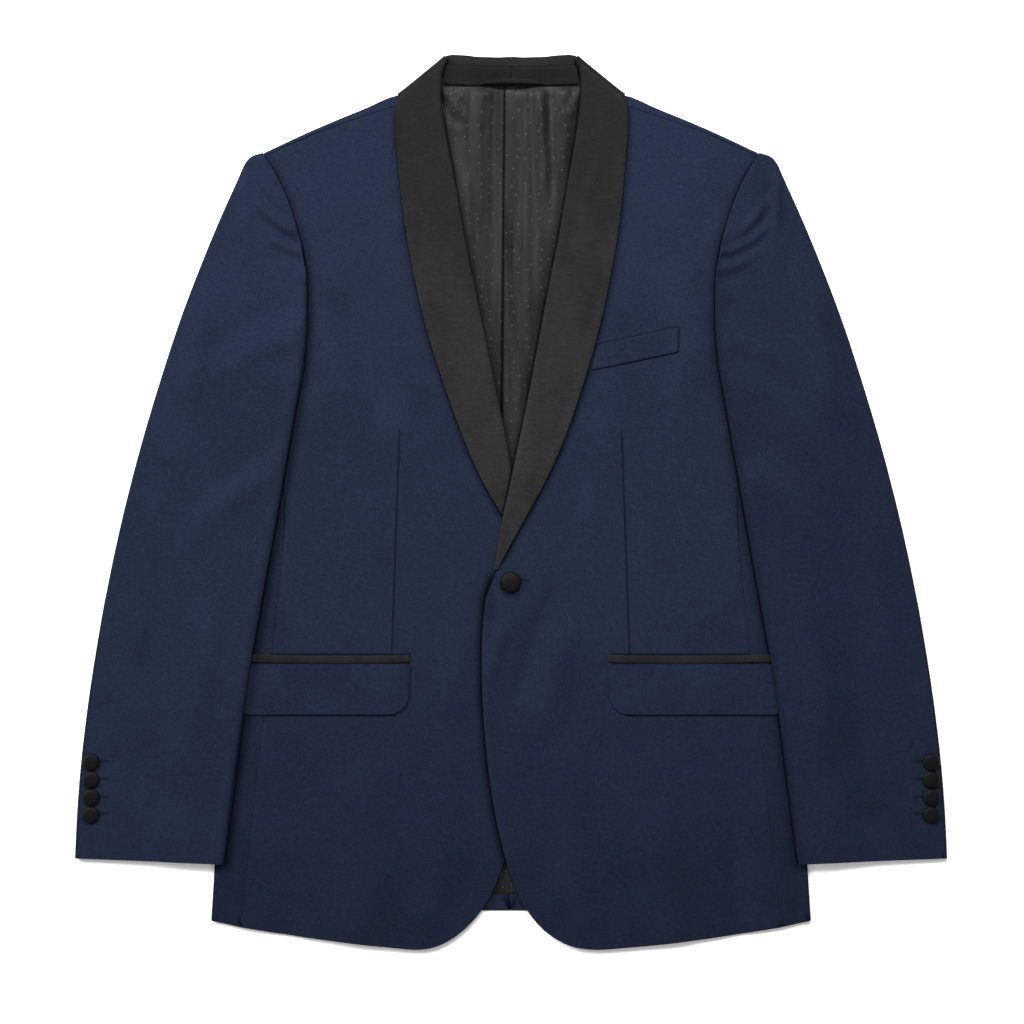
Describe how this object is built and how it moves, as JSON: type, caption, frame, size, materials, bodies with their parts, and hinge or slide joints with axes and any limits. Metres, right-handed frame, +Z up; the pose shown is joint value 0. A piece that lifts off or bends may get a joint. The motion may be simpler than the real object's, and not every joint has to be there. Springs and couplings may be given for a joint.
{
  "type": "shawl-collar dinner jacket",
  "caption": "Single-breasted tuxedo jacket in dark navy wool with a black satin shawl collar, laid flat on its back with the front closed.",
  "frame": {"origin": "middle of the jacket's bounding box in plan, on the flat surface it lies on", "axes": "+X towards the wearer's left sleeve, +Y up the jacket from the hem to the collar, +Z up from the flat surface, out of the jacket's front"},
  "size_m": [0.8036, 0.8243, 0.0168],
  "materials": {
    "wool": "fine matt worsted wool, dark navy",
    "satin": "black silk satin with a soft sheen",
    "lining": "smooth black lining with a small woven dot",
    "ribbon": "narrow woven satin ribbon",
    "covered_buttons": "buttons covered in black satin"
  },
  "bodies": {
    "root": {"back_left": "wool", "side_panel_left": "wool", "front_left": "wool", "back_lining_left": "lining", "shawl_lapel_left": "satin", "back_collar_left": "satin", "collar_stand_left": "satin", "top_sleeve_left": "wool", "under_sleeve_left": "wool", "pocket_flap_left": "wool", "pocket_jet_left": "satin", "cuff_button_left_1": "covered_buttons", "cuff_button_left_2": "covered_buttons", "cuff_button_left_3": "covered_buttons", "cuff_button_left_4": "covered_buttons", "back_right": "wool", "side_panel_right": "wool", "front_right": "wool", "back_lining_right": "lining", "shawl_lapel_right": "satin", "back_collar_right": "satin", "collar_stand_right": "satin", "top_sleeve_right": "wool", "under_sleeve_right": "wool", "pocket_flap_right": "wool", "pocket_jet_right": "satin", "cuff_button_right_1": "covered_buttons", "cuff_button_right_2": "covered_buttons", "cuff_button_right_3": "covered_buttons", "cuff_button_right_4": "covered_buttons", "hanger_loop": "ribbon", "breast_welt": "wool", "front_button": "covered_buttons"}
  },
  "joints": []
}
